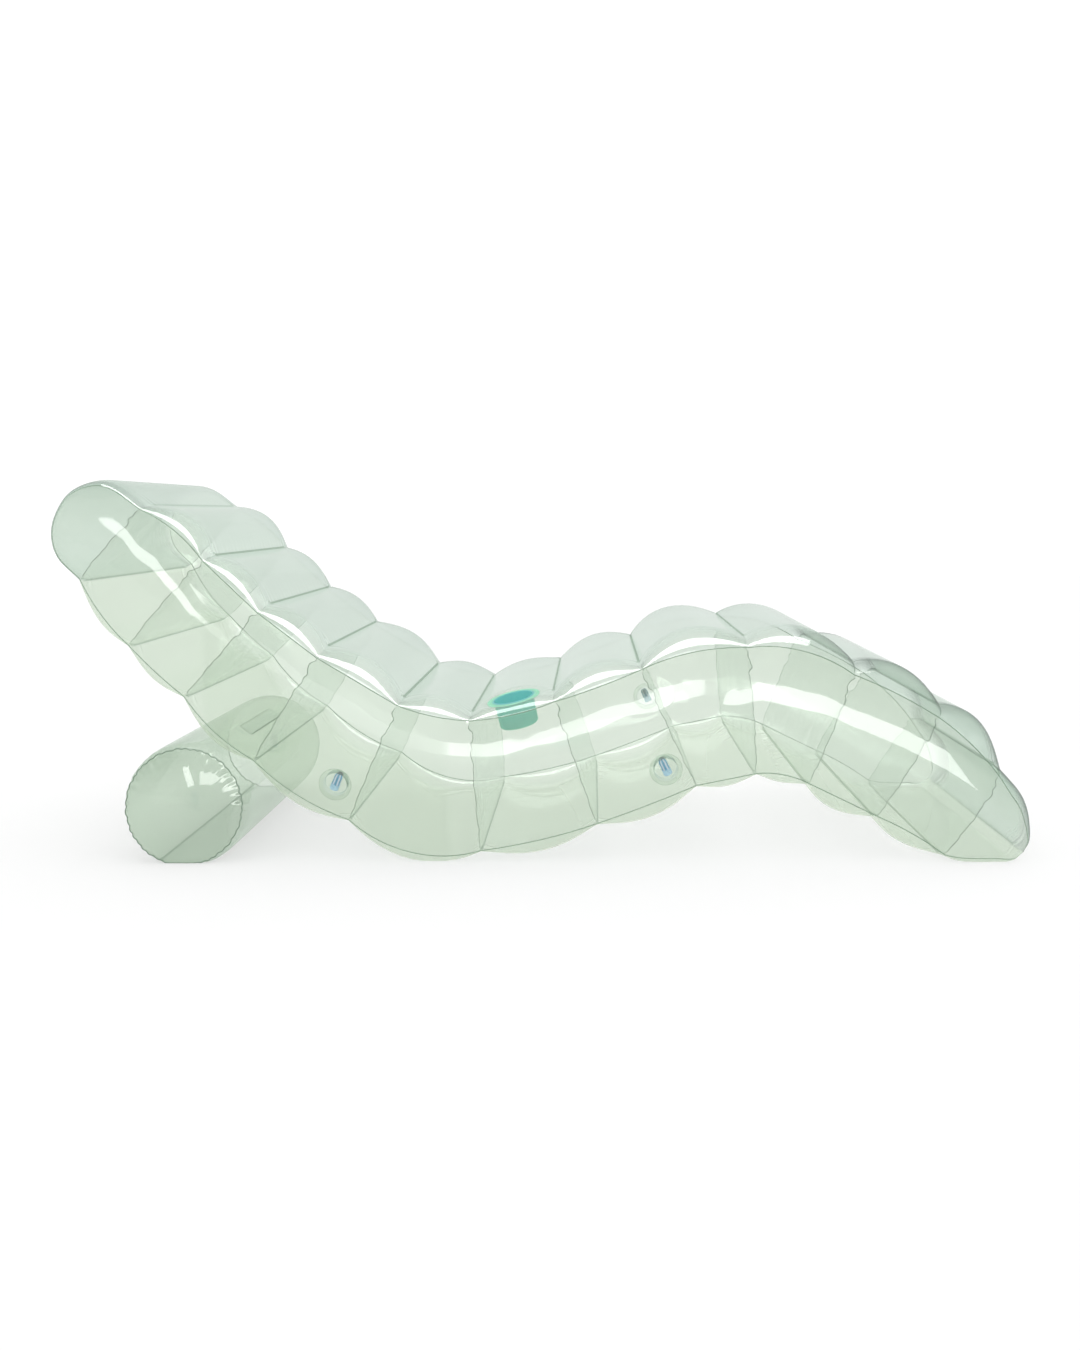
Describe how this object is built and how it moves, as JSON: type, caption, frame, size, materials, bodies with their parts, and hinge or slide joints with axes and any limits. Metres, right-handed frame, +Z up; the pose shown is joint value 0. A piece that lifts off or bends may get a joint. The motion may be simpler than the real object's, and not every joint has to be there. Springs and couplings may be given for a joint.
{
  "type": "inflatable pool lounger",
  "caption": "Inflatable chaise lounger of clear film: a wavy air mattress of cross chambers with a round bolster under its back, a cup holder and air valves.",
  "frame": {"origin": "on the floor, under the middle of the lounger's bounding box", "axes": "+Z up, +X from the head end towards the feet, +Y to the left of someone lying on it"},
  "size_m": [1.9792, 0.8978, 0.7671],
  "materials": {
    "clear_film": "clear pale green PVC film, glossy",
    "teal_plastic": "translucent teal moulding, glossy",
    "clear_plastic": "clear soft plastic, glossy",
    "blue_plastic": "translucent pale blue soft plastic, glossy"
  },
  "bodies": {
    "lounger": {"top_sheet": "clear_film", "bottom_sheet": "clear_film", "right_side_panel": "clear_film", "left_side_panel": "clear_film", "web_01": "clear_film", "web_02": "clear_film", "web_03": "clear_film", "web_04": "clear_film", "web_05": "clear_film", "web_06": "clear_film", "web_07": "clear_film", "web_08": "clear_film", "web_09": "clear_film", "web_10": "clear_film", "web_11": "clear_film", "web_12": "clear_film", "bolster_tube": "clear_film", "bolster_end_right": "clear_film", "bolster_end_left": "clear_film", "bolster_strap": "clear_film", "cup_holder": "teal_plastic", "back_valve_base": "clear_plastic", "knee_valve_right_base": "clear_plastic", "knee_valve_left_base": "clear_plastic", "bolster_valve_base": "clear_plastic"},
    "back_valve_stem": {"back_valve_stem": "blue_plastic"},
    "back_valve_plug": {"back_valve_plug": "blue_plastic"},
    "back_valve_flap": {"back_valve_flap": "clear_film"},
    "knee_valve_right_stem": {"knee_valve_right_stem": "blue_plastic"},
    "knee_valve_right_plug": {"knee_valve_right_plug": "blue_plastic"},
    "knee_valve_right_flap": {"knee_valve_right_flap": "clear_film"},
    "knee_valve_left_stem": {"knee_valve_left_stem": "blue_plastic"},
    "knee_valve_left_plug": {"knee_valve_left_plug": "blue_plastic"},
    "knee_valve_left_flap": {"knee_valve_left_flap": "clear_film"},
    "bolster_valve_stem": {"bolster_valve_stem": "blue_plastic"},
    "bolster_valve_plug": {"bolster_valve_plug": "blue_plastic"},
    "bolster_valve_flap": {"bolster_valve_flap": "clear_film"}
  },
  "joints": [
    {"name": "back_valve_stem_hinge", "type": "hinge", "parent": "lounger", "child": "back_valve_stem", "pos_m": [-0.40305, -0.43204, 0.17391], "axis": [-0.9199, 0.0091, 0.392], "range_deg": [0, 90]},
    {"name": "back_valve_plug_slide", "type": "slide", "parent": "back_valve_stem", "child": "back_valve_plug", "axis": [-0.383, 0.1926, -0.9034], "range_m": [0, 0.006]},
    {"name": "back_valve_flap_hinge", "type": "hinge", "parent": "lounger", "child": "back_valve_flap", "pos_m": [-0.39944, -0.42245, 0.18217], "axis": [0.9199, -0.0091, -0.392], "range_deg": [0, 60], "stiffness_Nm_per_rad": 0.0001, "springref_deg": -11.46},
    {"name": "knee_valve_right_stem_hinge", "type": "hinge", "parent": "lounger", "child": "knee_valve_right_stem", "pos_m": [0.24343, -0.43167, 0.20308], "axis": [-0.9056, 0.0147, -0.4238], "range_deg": [0, 90]},
    {"name": "knee_valve_right_plug_slide", "type": "slide", "parent": "knee_valve_right_stem", "child": "knee_valve_right_plug", "axis": [0.4179, 0.2004, -0.8861], "range_m": [0, 0.006]},
    {"name": "knee_valve_right_flap_hinge", "type": "hinge", "parent": "lounger", "child": "knee_valve_right_flap", "pos_m": [0.23971, -0.42215, 0.21138], "axis": [0.9056, -0.0147, 0.4238], "range_deg": [0, 60], "stiffness_Nm_per_rad": 0.0001, "springref_deg": -11.46},
    {"name": "knee_valve_left_stem_hinge", "type": "hinge", "parent": "lounger", "child": "knee_valve_left_stem", "pos_m": [0.23604, 0.43644, 0.242], "axis": [0.9057, 0.0105, 0.4238], "range_deg": [0, 90]},
    {"name": "knee_valve_left_plug_slide", "type": "slide", "parent": "knee_valve_left_stem", "child": "knee_valve_left_plug", "axis": [0.4228, -0.0962, -0.9011], "range_m": [0, 0.006]},
    {"name": "knee_valve_left_flap_hinge", "type": "hinge", "parent": "lounger", "child": "knee_valve_left_flap", "pos_m": [0.23273, 0.42602, 0.24933], "axis": [-0.9057, -0.0105, -0.4238], "range_deg": [0, 60], "stiffness_Nm_per_rad": 0.0001, "springref_deg": -11.46},
    {"name": "bolster_valve_stem_hinge", "type": "hinge", "parent": "lounger", "child": "bolster_valve_stem", "pos_m": [-0.71406, 0.43794, 0.126], "axis": [1, 0, 0], "range_deg": [0, 90]},
    {"name": "bolster_valve_plug_slide", "type": "slide", "parent": "bolster_valve_stem", "child": "bolster_valve_plug", "axis": [0, 0, -1], "range_m": [0, 0.006]},
    {"name": "bolster_valve_flap_hinge", "type": "hinge", "parent": "lounger", "child": "bolster_valve_flap", "pos_m": [-0.71406, 0.42679, 0.133], "axis": [-1, 0, 0], "range_deg": [0, 60], "stiffness_Nm_per_rad": 0.0001, "springref_deg": -11.46}
  ]
}
